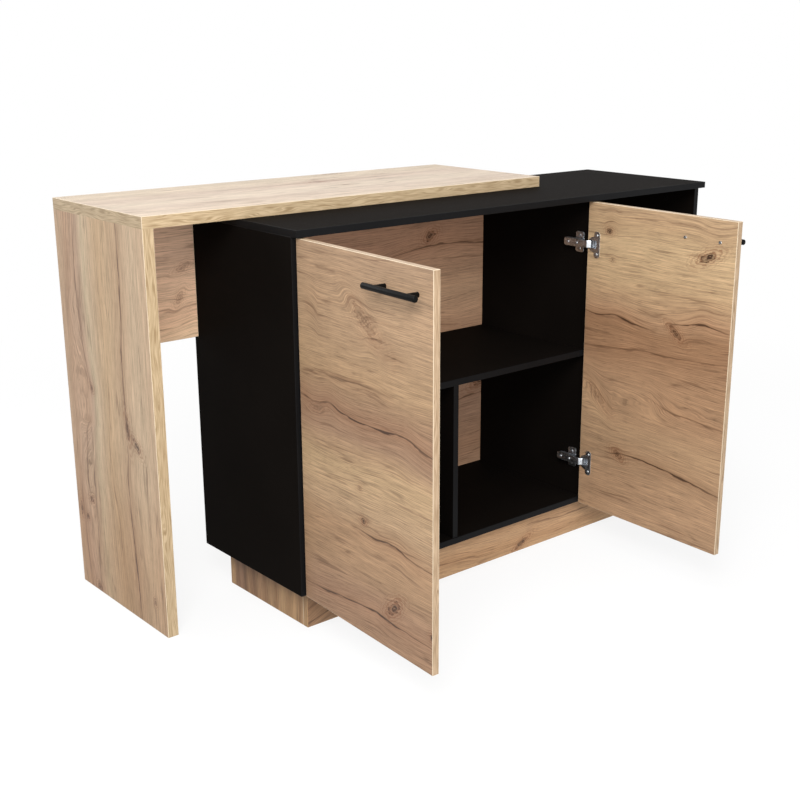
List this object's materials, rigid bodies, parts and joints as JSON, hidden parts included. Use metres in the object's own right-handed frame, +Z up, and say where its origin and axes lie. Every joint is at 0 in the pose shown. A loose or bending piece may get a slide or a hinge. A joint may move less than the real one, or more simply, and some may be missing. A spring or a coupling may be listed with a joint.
{
  "type": "kitchen island",
  "caption": "Kitchen island with a black cabinet, oak hinged doors with bar handles, an open side niche and an oak breakfast bar that laps over the back and stands on a panel leg.",
  "frame": {"origin": "on the floor at the centre of the plinth, under its cross brace", "axes": "+X along the front to the niche end, +Y from the doors to the breakfast bar's back edge, +Z up"},
  "size_m": [1.5, 1.0174, 0.9],
  "materials": {
    "black_melamine": "matte black melamine board",
    "oak_melamine": "knotty oak melamine board",
    "black_metal": "matte black coated steel",
    "nickel_steel": "nickel plated steel",
    "zinc_steel": "zinc plated steel",
    "beech": "plain beech"
  },
  "bodies": {
    "cabinet": {"back_panel": "oak_melamine", "bottom_panel": "black_melamine", "cabinet_top": "black_melamine", "cam_bolts": "zinc_steel", "cam_discs": "zinc_steel", "carcass_dowels": "beech", "divider_panel": "black_melamine", "hinge_arm_screws": "zinc_steel", "hinge_plate_screws": "zinc_steel", "left_door_lower_hinge_arm": "nickel_steel", "left_door_lower_hinge_plate": "nickel_steel", "left_door_upper_hinge_arm": "nickel_steel", "left_door_upper_hinge_plate": "nickel_steel", "left_side_panel": "black_melamine", "lower_partition": "black_melamine", "main_shelf": "black_melamine", "niche_lower_shelf": "black_melamine", "niche_upper_shelf": "black_melamine", "plinth_back": "oak_melamine", "plinth_brace": "oak_melamine", "plinth_dowels": "beech", "plinth_front": "oak_melamine", "plinth_left": "oak_melamine", "plinth_right": "oak_melamine", "right_door_lower_hinge_arm": "nickel_steel", "right_door_lower_hinge_plate": "nickel_steel", "right_door_upper_hinge_arm": "nickel_steel", "right_door_upper_hinge_plate": "nickel_steel", "right_side_panel": "black_melamine", "table_apron": "oak_melamine", "table_dowels": "beech", "table_leg": "oak_melamine", "table_screws": "zinc_steel", "table_top": "oak_melamine"},
    "left_door": {"left_door": "oak_melamine", "left_door_handle_bar": "black_metal", "left_door_handle_posts": "black_metal", "left_door_handle_screws": "zinc_steel", "left_door_hinge_cup_screws": "zinc_steel", "left_door_lower_hinge_cup": "nickel_steel", "left_door_lower_hinge_pin": "nickel_steel", "left_door_upper_hinge_cup": "nickel_steel", "left_door_upper_hinge_pin": "nickel_steel"},
    "right_door": {"right_door": "oak_melamine", "right_door_handle_bar": "black_metal", "right_door_handle_posts": "black_metal", "right_door_handle_screws": "zinc_steel", "right_door_hinge_cup_screws": "zinc_steel", "right_door_lower_hinge_cup": "nickel_steel", "right_door_lower_hinge_pin": "nickel_steel", "right_door_upper_hinge_cup": "nickel_steel", "right_door_upper_hinge_pin": "nickel_steel"}
  },
  "joints": [
    {"name": "left_door_hinge", "type": "hinge", "parent": "cabinet", "child": "left_door", "pos_m": [-0.6254, -0.198, 0.4835], "axis": [0, 0, -1], "range_deg": [-93, 7]},
    {"name": "right_door_hinge", "type": "hinge", "parent": "cabinet", "child": "right_door", "pos_m": [0.2254, -0.198, 0.4835], "axis": [0, 0, 1], "range_deg": [-88, 12]}
  ]
}
